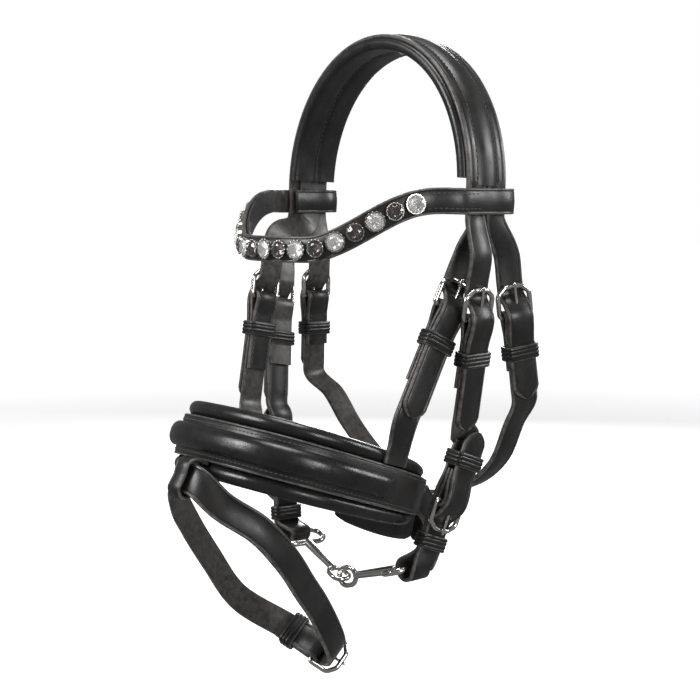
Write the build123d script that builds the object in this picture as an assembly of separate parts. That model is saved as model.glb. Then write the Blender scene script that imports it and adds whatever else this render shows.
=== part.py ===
from build123d import *
import math
import os
from collections import namedtuple

# A small snaffle bridle, in millimetres.  The origin is the middle of the underside of the
# crown, where it rests on the poll.  +Z is up, +X is the horse's left, -Y is towards the nose.

# ---------------------------------------------------------------- driving dimensions
STRAP = 12.6            # width of every ordinary strap
LEATHER = 1.8           # thickness of one layer of leather
WIRE = 2.2              # buckle frame wire
TONGUE_WIRE = 1.4       # buckle tongue wire
PIVOT_GAP = 0.08        # running clearance of a tongue on its bar
SKIN = 0.1              # air left between layers that lie on each other

ARCH_HALF = 54.5        # crown: half the inner width at the browband
ARCH_RISE = 60.0        # crown: underside of the poll above the browband line
ARCH_LEAN = 2.0         # crown: degrees the arch leans back
PAD_WIDTH = 25.5        # crown pad, front to back
PAD_BASE = 3.2          # crown pad under the noseband's headstrap
PAD_RAIL = 5.5          # width of each padded edge of the crown
CROWN_STRAP = 22.7      # crown strap before it splits
PAD_END = 3.0           # the padding stops this far above the browband line

BUCKLE_HALF = STRAP / 2 + 0.4 + WIRE / 2      # bar centre to side rail
BUCKLE_LONG = 12.6      # bar centre to the rounded end
TONGUE_REACH = 14.6     # bar centre to the tongue's tip
KEEPER_LONG = 6.5
KEEPER_WALL = 1.3

NOSE_TILT = 19.5        # degrees the noseband rises to the front
NOSE_HALF = 48.5        # half width of the noseband's front leather
NOSE_DEEP = 51.5        # its reach forward of the ring's middle
NOSE_SQUARE = 2.6       # how far the ring's plan is from an ellipse (2 is an ellipse)
NOSE_CENTRE = (0, -54, -182.2)
NOSE_WRAP = 133         # degrees either side of the front that the wide part reaches
NOSE_PAD = 31.0         # height of the padding
NOSE_FRONT = 18.0       # height of the front leather
NOSE_ROLL = 10.0        # height of the raised roll along its middle

BROW_HALF = 57.0        # browband: half width and reach of its plan ellipse
BROW_DEEP = 58.0
BROW_CENTRE = -13.0
BROW_LINE = -66.5       # height of the browband at the loops
BROW_DIP = 20.0         # how far its wave drops in front
BROW_WIDE = 11.0
BROW_LOOP = 11.0

STONE_LARGE = 7.2       # crystal diameters, set alternately
STONE_SMALL = 6.3
STONE_PITCH = 9.0

BIT_WIRE = 2.8          # wire of the bit's eyes
BIT_ARM = 4.2           # thickest part of each arm
BIT_EYE = (36.3, -25.5, -226.0)
BIT_EYE_LONG = 10.7      # eye's centreline: half across the strap, then half along the arm
BIT_EYE_WIDE = 5.6
BIT_JOINT = (0.0, -30.5, -237.0)

Station = namedtuple("Station", "point across width")


# ---------------------------------------------------------------- general shapes
def slopes(points):
    """The direction of a smooth curve at each of its points, weighted by the gaps either side."""
    gaps = [(after - before).length for before, after in zip(points, points[1:])]
    legs = [(after - before) / gap for before, after, gap in zip(points, points[1:], gaps)]
    inner = [(legs[k] * gaps[k + 1] + legs[k + 1] * gaps[k]) / (gaps[k] + gaps[k + 1])
             for k in range(len(gaps) - 1)]
    first = legs[0] * 1.5 - inner[0] * 0.5
    last = legs[-1] * 1.5 - inner[-1] * 0.5
    return [first] + inner + [last], gaps


def curve_place(start, stop, leave, arrive, gap, part):
    """Point and direction a part of the way along one cubic piece of a smooth curve."""
    square, cube = part ** 2, part ** 3
    point = (start * (2 * cube - 3 * square + 1) + stop * (3 * square - 2 * cube)
             + leave * gap * (cube - 2 * square + part) + arrive * gap * (cube - square))
    heading = ((stop - start) * 6 * (part - square) + leave * gap * (3 * square - 4 * part + 1)
               + arrive * gap * (3 * square - 2 * part))
    return point, heading.normalized()


def ribbon(stations, thickness=LEATHER, steps=2):
    """A flat strap lofted along a smooth curve through its stations."""
    points = [s.point for s in stations]
    headings, gaps = slopes(points)
    sections = []
    for k, gap in enumerate(gaps):
        here, there = stations[k], stations[k + 1]
        for step in range(steps + (k == len(gaps) - 1)):
            part = step / steps
            point, heading = curve_place(here.point, there.point, headings[k], headings[k + 1],
                                         gap, part)
            across = here.across * (1 - part) + there.across * part
            across = (across - heading * across.dot(heading)).normalized()
            width = here.width * (1 - part) + there.width * part
            plane = Plane(origin=point, x_dir=across, z_dir=heading)
            sections.append(plane * Rectangle(width, thickness))
    return loft(sections, ruled=True)


def places(points, across, width=STRAP):
    """Stations at plain points that share one direction across the strap."""
    return [Station(Vector(*point), Vector(*across), width) for point in points]


def pointed(stations):
    """Narrow the end of a billet to the blunt point that lets it enter a buckle."""
    end = stations[-1]
    heading = (end.point - stations[-2].point).normalized()
    taper = ((2.5, 1.0), (4.6, 0.86), (6.3, 0.58), (7.6, 0.24))
    return stations + [Station(end.point + heading * reach, end.across, end.width * share)
                       for reach, share in taper]


def save(shape, name):
    shape.label = name
    export_step(shape, f"parts/{name}.step")


# ---------------------------------------------------------------- buckles
# A buckle's plane has its origin in the middle of the bar.  Its Y runs along the strap to the
# rounded end of the frame, its Z points away from the horse and its X lies along the bar.
def buckle_plane(bar, up, out):
    up = Vector(*up).normalized()
    out = Vector(*out)
    out = (out - up * out.dot(up)).normalized()
    return Plane(origin=bar, x_dir=up.cross(out), z_dir=out)


def on_plane(plane, route, hint=(0, 1, 0), width=STRAP):
    """Stations given as (along the strap, outwards) in a buckle's plane."""
    across = plane.x_dir if plane.x_dir.dot(Vector(*hint)) > 0 else plane.x_dir * -1
    return [Station(plane.from_local_coords(Vector(0, along, out)), across, width)
            for along, out in route]


LAYER = LEATHER / 2 + SKIN / 2                  # middle of each layer of a folded strap
BAR_BEND = WIRE / 2 + 0.15 + LEATHER / 2        # middle of the leather round a bar
OVER_BAR = BAR_BEND + LEATHER + SKIN            # middle of a billet where it crosses the bar
ON_FOLD = LAYER + LEATHER + SKIN                # middle of a billet lying on a folded strap
UNDER_END = -(WIRE / 2 + 0.4 + LEATHER / 2)    # middle of a billet under the rounded end
FOLD_TAIL = 30.0                                # length of the sewn back layer of a fold


def bar_fold(tail=FOLD_TAIL):
    """From the end of the back layer, round the bar, to the start of the front layer."""
    straight = [(-tail, -LAYER), (-10.2, -LAYER), (-8.6, -LAYER), (-4.2, -BAR_BEND * 0.8)]
    bend = [(BAR_BEND * math.sin(turn), -BAR_BEND * math.cos(turn))
            for turn in (math.radians(step * 45) for step in range(5))]
    return straight + bend + [(-4.2, BAR_BEND * 0.8), (-8.6, LAYER), (-10.2, LAYER)]


def billet_crossing():
    """From behind the rounded end, through the frame, over the bar and onto the fold."""
    return [(BUCKLE_LONG + 1.0, UNDER_END), (BUCKLE_LONG - 3.6, UNDER_END * 0.85), (5.0, 1.7),
            (0.6, OVER_BAR), (-4.0, OVER_BAR), (-9.0, ON_FOLD + 0.35), (-12.5, ON_FOLD),
            (-14.0, ON_FOLD)]


def tongue_slot(plane):
    """Cutter for the gap in a fold that lets the tongue's ring reach the bar."""
    return plane * Pos(0, 0.3, 0) * Box(TONGUE_WIRE + 1.2, 7.4, 2 * OVER_BAR - LEATHER - 0.1)


def billet_hole(plane, along=5.2, length=7.4):
    """Cutter for the oval hole that the tongue passes through."""
    return plane * Pos(0, along, 1.0) * extrude(
        SlotOverall(length, TONGUE_WIRE + 1.0, rotation=90), 4, both=True)


def buckle_frame(plane):
    """A wire horseshoe: straight bar, two side rails and a rounded end."""
    half, shoulder = BUCKLE_HALF, BUCKLE_LONG * 0.75
    corners = [(-half, 0), (half, 0), (half, shoulder), (half * 0.5, BUCKLE_LONG),
               (-half * 0.5, BUCKLE_LONG), (-half, shoulder)]
    outline = FilletPolyline(*corners, radius=[1.6, 1.6, 3.2, 3.2, 3.2, 3.2], close=True)
    start = outline @ 0
    section = Plane(origin=start, z_dir=outline % 0) * Circle(WIRE / 2)
    return plane * sweep(section, path=outline)


def buckle_tongue(plane):
    """A wire curled round the bar, its shank lying over the rounded end of the frame."""
    ring = WIRE / 2 + PIVOT_GAP + TONGUE_WIRE / 2
    side = Plane(origin=(0, 0, 0), x_dir=(0, 1, 0), z_dir=(1, 0, 0))
    curl = side * CenterArc((0, 0), ring, 90, 292)
    shank = side * Line((0, ring), (TONGUE_REACH - TONGUE_WIRE / 2, ring))
    ring_start = Plane(origin=(0, 0, ring), z_dir=(0, 1, 0)) * Circle(TONGUE_WIRE / 2)
    body = sweep(ring_start, path=curl) + sweep(ring_start, path=shank)
    tip = Pos(0, TONGUE_REACH - TONGUE_WIRE / 2, ring) * Sphere(TONGUE_WIRE / 2)
    return plane * (body + tip)


def keeper(plane, along, back, front, width=STRAP):
    """A closed leather band round a stack of straps lying between back and front."""
    middle = (back + front) / 2
    inner = RectangleRounded(width + 0.7, front - back + 2 * SKIN, 0.9)
    outer = RectangleRounded(width + 0.7 + 2 * KEEPER_WALL,
                             front - back + 2 * SKIN + 2 * KEEPER_WALL, 1.8)
    band = extrude(outer - inner, KEEPER_LONG / 2, both=True)
    return plane * Pos(0, along, middle) * Rot(90, 0, 0) * band


FOLD_BACK = -(LAYER + LEATHER / 2)
BEHIND = -(LAYER + LEATHER + 2 * SKIN)          # middle of a strap that runs behind a fold
LOOP_BACK = -(BAR_BEND + LEATHER + 0.25)        # middle of that strap where it passes the bar
BILLET_FRONT = ON_FOLD + LEATHER / 2


# ---------------------------------------------------------------- crown
LEAN = math.radians(ARCH_LEAN)
ARCH = Plane(origin=(0, 0, 0), x_dir=(1, 0, 0), z_dir=(0, -math.cos(LEAN), math.sin(LEAN)))
ARCH_DOWN = ARCH.y_dir * -1


def arch_band(inner, outer, front_to_back, lift=0.0):
    """Half an elliptical band, between two distances outside the crown's underside."""
    ring = Ellipse(ARCH_HALF + outer, ARCH_RISE + outer) - Ellipse(ARCH_HALF + inner,
                                                                  ARCH_RISE + inner)
    upper = Pos(0, lift + 60) * Rectangle(4 * ARCH_HALF, 120)
    return ARCH * Pos(0, -ARCH_RISE) * extrude(ring & upper, front_to_back / 2, both=True)


HEAD_IN = PAD_BASE + SKIN                        # noseband headstrap, in its channel
HEAD_OUT = HEAD_IN + LEATHER
CROWN_IN = HEAD_OUT + SKIN                       # crown strap on top
CROWN_OUT = CROWN_IN + LEATHER


def arch_foot(side, distance, back):
    """A point at the arch's end, a distance outside the underside and behind its middle."""
    foot = ARCH.from_local_coords(Vector(side * (ARCH_HALF + distance), -ARCH_RISE, -back))
    return foot


def crown_pad():
    base = arch_band(0, PAD_BASE, PAD_WIDTH, PAD_END)
    shift = ARCH.z_dir * ((PAD_WIDTH - PAD_RAIL) / 2)
    rail = arch_band(PAD_BASE, HEAD_OUT, PAD_RAIL, PAD_END)
    return base + Pos(*shift) * rail + Pos(*(shift * -1)) * rail


LEG = LEATHER - 0.04    # a strap end starts just inside the surfaces of its arch


def leg(side, distance, back, width, route):
    """A strap end that starts inside the arch's end and goes on to its buckle."""
    foot = arch_foot(side, distance, back)
    start = [Station(foot + ARCH_DOWN * reach, Vector(0, 1, 0), width)
             for reach in (-1.5, 5, 11, 12.5)]
    return start + route


# ---------------------------------------------------------------- where each buckle hangs
LEFT, RIGHT = 1, -1
SIDE_NAME = {LEFT: "left", RIGHT: "right"}
CHEEK_BUCKLE = {LEFT: buckle_plane((62.0, -8.5, -116), (0.20, -0.02, 1), (1, 0, 0)),
                RIGHT: buckle_plane((-62.5, -18.0, -116), (-0.18, 0.17, 1), (-1, 0, 0))}
THROAT_BUCKLE = {LEFT: buckle_plane((62.0, 15.5, -115.5), (0, -0.16, 1), (1, -0.3, 0)),
                 RIGHT: buckle_plane((-61.0, 3.0, -113.0), (0, 0.02, 1), (-1, 0, 0))}
HANGER_BUCKLE = {LEFT: buckle_plane((54.0, -17.5, -112), (0.05, 0.50, 1), (1, -0.1, 0)),
                 RIGHT: buckle_plane((-54.0, -34.0, -112), (-0.03, 0.18, 1), (-1, -0.1, 0))}
LOWER_BUCKLE = {LEFT: buckle_plane((50.5, -12.0, -196.0), (-0.08, -0.34, -0.90), (1, 0, 0)),
                RIGHT: buckle_plane((-52.0, -26.5, -197.0), (0.12, -0.04, -1), (-1, 0, 0))}


def crown_strap():
    strap = arch_band(CROWN_IN, CROWN_OUT, CROWN_STRAP)
    half = CROWN_STRAP / 2 - 0.5
    split = (CROWN_STRAP - half) / 2 - 0.05
    middle = (CROWN_IN + CROWN_OUT) / 2
    for side in (LEFT, RIGHT):
        cheek = CHEEK_BUCKLE[side]
        route = leg(side, middle, -split, half,
                    on_plane(cheek, [(26, UNDER_END)], width=STRAP)
                    + on_plane(cheek, billet_crossing() + [(-22, ON_FOLD),
                                                           (-41, ON_FOLD + 0.15)]))
        billet = ribbon(pointed(route), LEG) - billet_hole(cheek)
        throat = THROAT_BUCKLE[side]
        route = leg(side, middle, split, half,
                    on_plane(throat, [(25, UNDER_END)], width=STRAP)
                    + on_plane(throat, billet_crossing() + [(-22, ON_FOLD),
                                                            (-29, ON_FOLD + 0.15)]))
        second = ribbon(pointed(route), LEG) - billet_hole(throat)
        strap = strap + billet + second
    return strap


def noseband_headstrap():
    strap = arch_band(HEAD_IN, HEAD_OUT, STRAP)
    middle = (HEAD_IN + HEAD_OUT) / 2
    for side in (LEFT, RIGHT):
        buckle = HANGER_BUCKLE[side]
        route = leg(side, middle, 0, STRAP - 0.1,
                    on_plane(buckle, [(27, UNDER_END)])
                    + on_plane(buckle, billet_crossing() + [(-22, ON_FOLD),
                                                            (-41, ON_FOLD + 0.2)]))
        strap = strap + (ribbon(pointed(route), LEG) - billet_hole(buckle))
    return strap


# ---------------------------------------------------------------- cheekpieces
LOOP_BEND = 5.0         # radius of the strap loop that carries the bit
LOOP_DROP = 3.1         # the loop's lowest point below the middle of the bit's wire
LOOP_OUT = 5.7          # the loop's middle outside the middle of the bit's eye
LOOP_WIDE = 11.0        # the strap is drawn a little narrower where it bends in the eye


def cheekpiece(side):
    """One strap: folded on the upper buckle, down, round the bit and up through the lower one."""
    upper, lower = CHEEK_BUCKLE[side], LOWER_BUCKLE[side]
    middle = Vector(side * (BIT_EYE[0] + LOOP_OUT), BIT_EYE[1], BIT_EYE[2] - LOOP_DROP + LOOP_BEND)
    loop = [middle + Vector(-side * LOOP_BEND * math.cos(turn), 0, -LOOP_BEND * math.sin(turn))
            for turn in (math.radians(45 * step) for step in range(5))]
    route = on_plane(upper, bar_fold() + [(-16, LAYER), (-42, LAYER), (-49, LAYER)])
    route += on_plane(lower, [(-28, BEHIND), (-24, BEHIND), (-14.5, BEHIND), (-13, BEHIND),
                              (-5, LOOP_BACK), (10, LOOP_BACK), (23, LOOP_BACK)])
    route += places(loop, (0, 1, 0), LOOP_WIDE)
    route += on_plane(lower, [(23, UNDER_END)] + billet_crossing()[:-1]
                      + [(-14, ON_FOLD), (-19, ON_FOLD), (-25, ON_FOLD)])
    strap = ribbon(pointed(route)) - tongue_slot(upper) - billet_hole(lower)
    chape = ribbon(on_plane(lower, bar_fold(14) + [(-14, LAYER)])) - tongue_slot(lower)
    return Compound(children=[strap, chape])


# ---------------------------------------------------------------- throatlatch
def throatlatch():
    left, right = THROAT_BUCKLE[LEFT], THROAT_BUCKLE[RIGHT]
    fold = bar_fold(24) + [(-16, LAYER), (-33, LAYER), (-37, LAYER)]
    under_jaw = [(57.0, 21.0, -164), (46.5, 22.0, -183), (31, 21.5, -195.5), (15, 20.0, -201),
                 (0, 18.0, -201.5), (-15, 16.0, -198.5), (-30, 13.5, -188.5),
                 (-44, 11.0, -175), (-53.5, 8.0, -161)]
    route = on_plane(left, fold) + places(under_jaw, (0, 1, 0)) + on_plane(right, fold)[::-1]
    return ribbon(route) - tongue_slot(left) - tongue_slot(right)


# ---------------------------------------------------------------- noseband
TILT = math.radians(NOSE_TILT)
NOSE = Plane(origin=NOSE_CENTRE, x_dir=(1, 0, 0), z_dir=(0, math.sin(TILT), math.cos(TILT)))


def nose_point(degrees, outward=0.0, up=0.0):
    """A point on the noseband's ring, by its angle from the front."""
    turn = math.radians(degrees)
    flat = 2 / NOSE_SQUARE
    x = (NOSE_HALF + outward) * math.copysign(abs(math.sin(turn)) ** flat, math.sin(turn))
    back = -(NOSE_DEEP + outward) * math.copysign(abs(math.cos(turn)) ** flat, math.cos(turn))
    return NOSE.from_local_coords(Vector(x, back, up))


def nose_ribbon(outward, heights, thickness, reach=NOSE_WRAP, up=0.0):
    """A band round the front of the ring; heights are for the middle and for the ends."""
    stations = []
    count = 17
    for number in range(count):
        degrees = reach * (2 * number / (count - 1) - 1)
        share = (abs(degrees) / NOSE_WRAP) ** 5
        height = heights[0] * (1 - share) + heights[1] * share
        stations.append(Station(nose_point(degrees, outward, up), NOSE.z_dir, height))
    return ribbon(stations, thickness)


def noseband_hanger(side):
    """Folded on its buckle, straight down, and tucked against the front leather's top edge."""
    buckle = HANGER_BUCKLE[side]
    foot = nose_point(side * (95 if side == LEFT else 92), 0.9, NOSE_FRONT / 2 + 0.5)
    ankle = foot + Vector(side * 0.6, 2.0, 7.0)
    route = on_plane(buckle, bar_fold(34) + [(-16, LAYER), (-44, LAYER), (-49, LAYER)])
    return ribbon(route + places([ankle, foot], (0, 1, 0))) - tongue_slot(buckle)


# ---------------------------------------------------------------- chin strap
CHIN_ACROSS = (0, 0.35, 0.94)
CHIN_BUCKLE = buckle_plane((6.0, 0.8, -214.0), (-1, 0, -0.03), (0, 0.94, -0.35))


def chin_side(side):
    start = nose_point(side * (NOSE_WRAP + 3))
    return places([start, (side * 33.5, -8.5, -203.0)], CHIN_ACROSS)


def chin_strap_left():
    fold = on_plane(CHIN_BUCKLE, (bar_fold(12) + [(-18, LAYER), (-20, LAYER)])[::-1], CHIN_ACROSS)
    return ribbon(chin_side(LEFT) + fold) - tongue_slot(CHIN_BUCKLE)


def chin_strap_right():
    start = chin_side(RIGHT) + places([(-24, -3.5, -209.5)], CHIN_ACROSS)
    billet = on_plane(CHIN_BUCKLE, billet_crossing(), CHIN_ACROSS)
    return ribbon(pointed(start + billet)) - billet_hole(CHIN_BUCKLE)


def chin_pad():
    """A soft guard between the buckle and the jaw."""
    route = places([(26, -10.0, -208), (13, -6.7, -211), (0, -6.0, -211.8), (-13, -6.7, -211),
                    (-26, -10.0, -208)], CHIN_ACROSS, 19.0)
    return ribbon(route, 2.4)


# ---------------------------------------------------------------- flash strap
FLASH_ACROSS = (0, 0.72, 0.69)
FLASH_FAR_ACROSS = (-0.25, 0.75, 0.60)
FLASH_TOP_ACROSS = (0, 0.45, 0.89)
FLASH_TOP = (0, -114.5, -179.5)
FLASH_BUCKLE = buckle_plane((-5.5, -40.0, -269.0), (0.75, 0.35, -0.38), (-0.53, 0.52, -0.54))


def flash_strap():
    """A closed loop: folded on its buckle, up the right, through the tab and down the left."""
    far = [(-29.5, -68.0, -245.5), (-28.5, -83.0, -225.0), (-22.5, -98.0, -205.5),
           (-14.0, -108.8, -192.0)]
    top = [(-5.5, -114.3, -180.1), FLASH_TOP, (5.5, -114.1, -179.8)]
    near = [(17.0, -108.2, -189.3), (26, -95.5, -200.0), (29.5, -84.5, -213.5),
            (27, -73.5, -227.5), (20, -60.0, -241.7)]
    route = on_plane(FLASH_BUCKLE, bar_fold(14) + [(-16, LAYER)], FLASH_ACROSS)
    route += places(far, FLASH_FAR_ACROSS) + places(top, FLASH_TOP_ACROSS) + places(near, FLASH_ACROSS)
    crossing = [(11.5, -16.0), (10.6, -8.0), (8.6, -3.0), (5.0, 1.6)] + billet_crossing()[3:]
    route += on_plane(FLASH_BUCKLE, crossing + [(-18, ON_FOLD + 0.1)], FLASH_ACROSS)
    return ribbon(pointed(route)) - tongue_slot(FLASH_BUCKLE) - billet_hole(
        FLASH_BUCKLE, 4.6, 6.4)


def flash_tab():
    """The leather loop on the noseband that the flash strap runs through."""
    across = Vector(*FLASH_TOP_ACROSS)
    out = Vector(0, -across.Z, across.Y)
    centre = Vector(*FLASH_TOP)
    long, thick = STRAP / 2 + 2.1, LEATHER / 2 + 2.1
    root = nose_point(0, 0.0, -NOSE_FRONT / 2 - 0.9)
    around = [(long, 0.2), (long - 2.0, thick), (0, thick), (-long + 2.0, thick), (-long, 0),
              (-long + 2.0, -thick), (0, -thick), (long - 3.2, -thick)]
    points = [root] + [centre + across * up + out * front for up, front in around]
    return ribbon(places(points, (1, 0, 0), 8.4), 1.5)


# ---------------------------------------------------------------- browband
BROW_WAVE = (20.0, 75.0)        # degrees from the front where the dip starts and ends


def brow_point(degrees, outward=0.0):
    """A point on the browband's wave, by its angle from the front of its plan ellipse."""
    turn = math.radians(degrees)
    start, stop = BROW_WAVE
    share = min(max((abs(degrees) - start) / (stop - start), 0), 1)
    dip = BROW_DIP * (1 + math.cos(math.pi * share)) / 2
    return Vector((BROW_HALF + outward) * math.sin(turn),
                  BROW_CENTRE - (BROW_DEEP + outward) * math.cos(turn), BROW_LINE - dip)


def brow_loop(side):
    """Round the crown's leg: along its outside, round its back edge and along its inside."""
    inner = ARCH_HALF + HEAD_IN - 0.35 - LEATHER / 2
    outer = ARCH_HALF + CROWN_OUT + 0.45 + LEATHER / 2
    bend, middle = (outer - inner) / 2, (outer + inner) / 2
    back = 10.2
    points = [(outer, -15.5), (outer, -13), (outer, 0), (outer, back)]
    points += [(middle + bend * math.cos(math.radians(turn)), back + bend * math.sin(
        math.radians(turn))) for turn in (45, 90, 135)]
    points += [(inner, back), (inner, 0), (inner, -12)]
    return places([(side * x, y, BROW_LINE) for x, y in points], (0, 0, 1), BROW_LOOP)


def browband():
    wave = [Station(brow_point(angle), Vector(0, 0, 1), BROW_WIDE) for angle in range(-72, 73, 6)]
    return ribbon(brow_loop(RIGHT)[::-1] + wave + brow_loop(LEFT))


def browband_lining():
    wave = [Station(brow_point(angle, -LEATHER / 2 - SKIN - 0.8), Vector(0, 0, 1), BROW_WIDE - 0.6)
            for angle in range(-72, 73, 6)]
    return ribbon(wave, 1.2)


def stone_planes():
    """Where the stones sit: centred on the front, one pitch apart along the wave."""
    wave = Edge.make_spline([brow_point(angle, LEATHER / 2) for angle in range(-72, 73, 4)])
    count = 2 * int(wave.length / STONE_PITCH / 2) + 1
    planes = []
    for number in range(count):
        place = 0.5 + (number - (count - 1) / 2) * STONE_PITCH / wave.length
        tangent = wave % place
        planes.append(Plane(origin=wave @ place, x_dir=tangent,
                            z_dir=tangent.cross(Vector(0, 0, 1)).normalized()))
    return planes


def crystal(diameter):
    """A round brilliant: flat table, sloping crown, thin girdle and a cone below it."""
    half = diameter / 2
    profile = Polyline((0, -0.36 * half), (half, 0.20 * half), (half, 0.28 * half),
                       (0.58 * half, 0.55 * half), (0, 0.55 * half), close=True)
    return Pos(0, 0, 1.4) * revolve(Plane.XZ * make_face(profile), Axis.Z)


def stone_cup(diameter):
    """The metal cup that the stone sits in, hollowed to its cone."""
    rim = Pos(0, 0, 0.95 + SKIN) * Cylinder(diameter / 2 + 0.55, 1.9)
    return rim - Pos(0, 0, 1.15) * Cylinder(diameter / 2 + 0.08, 2.4) - crystal(diameter + 0.1)


def stones(wanted, maker):
    pieces = []
    for number, plane in enumerate(stone_planes()):
        if number % 2 in wanted:
            pieces.append(plane * maker(STONE_SMALL if number % 2 else STONE_LARGE))
    return Compound(children=pieces)


# ---------------------------------------------------------------- bit
def oval_ring(long, wide, wire):
    """A closed oval of round wire about the origin, its length along X."""
    path = FilletPolyline((long, wide), (-long, wide), (-long, -wide), (long, -wide),
                          radius=wide * 0.97, close=True)
    section = Plane(origin=path @ 0, z_dir=path % 0) * Circle(wire / 2)
    return sweep(section, path=path)


def bit_arm(side):
    """An outer eye across the arm, a tapered arm, and an inner eye linked to its twin."""
    eye = Vector(side * BIT_EYE[0], BIT_EYE[1], BIT_EYE[2])
    joint = Vector(*BIT_JOINT)
    along = (eye - joint).normalized()
    level = Plane(origin=eye, x_dir=Vector(0, 1, 0) - along * along.Y,
                  z_dir=Vector(0, 0, 1) - along * along.Z)
    outer = level * oval_ring(BIT_EYE_LONG, BIT_EYE_WIDE, BIT_WIRE)
    inner_wide, inner_long = 4.0, 5.0
    upright = side == LEFT
    centre = joint + along * (inner_long - BIT_WIRE / 2 - 0.25)
    face = Vector(0, 1, 0) if upright else Vector(0, 0, 1)
    ring_plane = Plane(origin=centre, x_dir=along, z_dir=face - along * face.dot(along))
    inner = ring_plane * oval_ring(inner_long, inner_wide, BIT_WIRE * 0.85)
    start = centre + along * inner_long
    stop = eye - along * BIT_EYE_WIDE
    reach = (stop - start).length
    shank = Plane(origin=start, z_dir=along) * Pos(0, 0, reach / 2) * Cone(
        BIT_WIRE * 0.6, BIT_ARM / 2, reach)
    return outer + inner + shank


# ---------------------------------------------------------------- build everything
os.makedirs("parts", exist_ok=True)
save(crown_pad(), "crown_pad")
save(crown_strap(), "crown_strap")
save(noseband_headstrap(), "noseband_headstrap")
save(browband(), "browband")
save(browband_lining(), "browband_lining")
save(stones((0, 1), stone_cup), "crystal_cups")
save(stones((0,), crystal), "crystals_clear")
save(stones((1,), crystal), "crystals_smoke")
BUCKLES = {"cheek_upper": CHEEK_BUCKLE, "cheek_lower": LOWER_BUCKLE, "throat": THROAT_BUCKLE,
           "hanger": HANGER_BUCKLE}
# distance below the bar, and the back and front of the stack that each keeper holds
KEEPERS = {"cheek_upper": (CHEEK_BUCKLE, -17.0, FOLD_BACK, BILLET_FRONT),
           "throat": (THROAT_BUCKLE, -16.0, FOLD_BACK, BILLET_FRONT),
           "hanger": (HANGER_BUCKLE, -15.0, FOLD_BACK, BILLET_FRONT),
           "cheek_middle": (LOWER_BUCKLE, -19.0, BEHIND - LEATHER / 2, BILLET_FRONT),
           "cheek_loop": (LOWER_BUCKLE, 19.0, LOOP_BACK - LEATHER / 2,
                          UNDER_END + LEATHER / 2)}
for side, name in SIDE_NAME.items():
    save(cheekpiece(side), f"cheekpiece_{name}")
    save(noseband_hanger(side), f"noseband_hanger_{name}")
    save(bit_arm(side), f"bit_arm_{name}")
    for title, planes in BUCKLES.items():
        save(buckle_frame(planes[side]), f"{title}_buckle_{name}")
        save(buckle_tongue(planes[side]), f"{title}_tongue_{name}")
    for title, (planes, along, back, front) in KEEPERS.items():
        save(keeper(planes[side], along, back, front), f"{title}_keeper_{name}")
save(throatlatch(), "throatlatch_strap")
save(nose_ribbon(-3.7, (NOSE_PAD, 25), 5.0), "noseband_pad")
save(nose_ribbon(0, (NOSE_FRONT, 16), 2.0), "noseband_front")
save(nose_ribbon(2.95, (NOSE_ROLL, 7), 3.2, 96), "noseband_roll")
save(chin_strap_left(), "chin_strap_left")
save(chin_strap_right(), "chin_strap_right")
save(chin_pad(), "chin_pad")
save(flash_strap(), "flash_strap")
save(flash_tab(), "flash_loop")
for title, plane, along in (("chin", CHIN_BUCKLE, -14.0), ("flash", FLASH_BUCKLE, -14.0)):
    save(buckle_frame(plane), f"{title}_buckle")
    save(buckle_tongue(plane), f"{title}_tongue")
    save(keeper(plane, along, FOLD_BACK, BILLET_FRONT), f"{title}_keeper")
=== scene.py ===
import bmesh
import bpy
import math
from collections import namedtuple
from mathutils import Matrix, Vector


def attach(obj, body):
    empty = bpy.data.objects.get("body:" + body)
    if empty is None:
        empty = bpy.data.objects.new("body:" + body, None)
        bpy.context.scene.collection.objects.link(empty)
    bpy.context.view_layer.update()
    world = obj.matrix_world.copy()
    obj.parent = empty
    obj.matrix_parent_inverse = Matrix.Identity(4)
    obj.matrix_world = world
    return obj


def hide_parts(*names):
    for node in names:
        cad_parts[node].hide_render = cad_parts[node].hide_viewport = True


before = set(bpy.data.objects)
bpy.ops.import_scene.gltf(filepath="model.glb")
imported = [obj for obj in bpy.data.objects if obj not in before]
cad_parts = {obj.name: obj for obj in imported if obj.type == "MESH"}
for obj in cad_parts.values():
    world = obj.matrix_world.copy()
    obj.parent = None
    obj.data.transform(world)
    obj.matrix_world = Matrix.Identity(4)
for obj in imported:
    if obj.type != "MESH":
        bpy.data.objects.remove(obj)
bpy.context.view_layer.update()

# Lengths are millimetres until a mesh is made, in the frame of the CAD model: the origin is
# under the middle of the crown, +Z is up, +X is the horse's left and -Y is towards the nose.
MM = 0.001

# ---------------------------------------------------------------- sizes shared with the CAD
STRAP = 12.6
LEATHER = 1.8
WIRE = 2.2
SKIN = 0.1
ARCH_HALF = 54.5
ARCH_RISE = 60.0
ARCH_LEAN = math.radians(2.0)
PAD_WIDTH = 25.5
PAD_BASE = 3.2
CROWN_STRAP = 22.7
PAD_END = 3.0
BUCKLE_LONG = 12.6
KEEPER_LONG = 6.5
KEEPER_WALL = 1.3
NOSE_TILT = math.radians(19.5)
NOSE_HALF = 48.5
NOSE_DEEP = 51.5
NOSE_SQUARE = 2.6
NOSE_CENTRE = Vector((0, -54, -182.2))
NOSE_WRAP = 133
NOSE_PAD = 31.0
NOSE_FRONT = 18.0
NOSE_ROLL = 10.0
BROW_HALF = 57.0
BROW_DEEP = 58.0
BROW_CENTRE = -13.0
BROW_LINE = -66.5
BROW_DIP = 20.0
BROW_WIDE = 11.0
BROW_LOOP = 11.0
STONE_LARGE = 7.2
STONE_SMALL = 6.3
STONE_PITCH = 9.0
BIT_EYE = Vector((36.3, -25.5, -226.0))
LOOP_BEND = 5.0
LOOP_DROP = 3.1
LOOP_OUT = 5.7
LOOP_WIDE = 11.0

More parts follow.
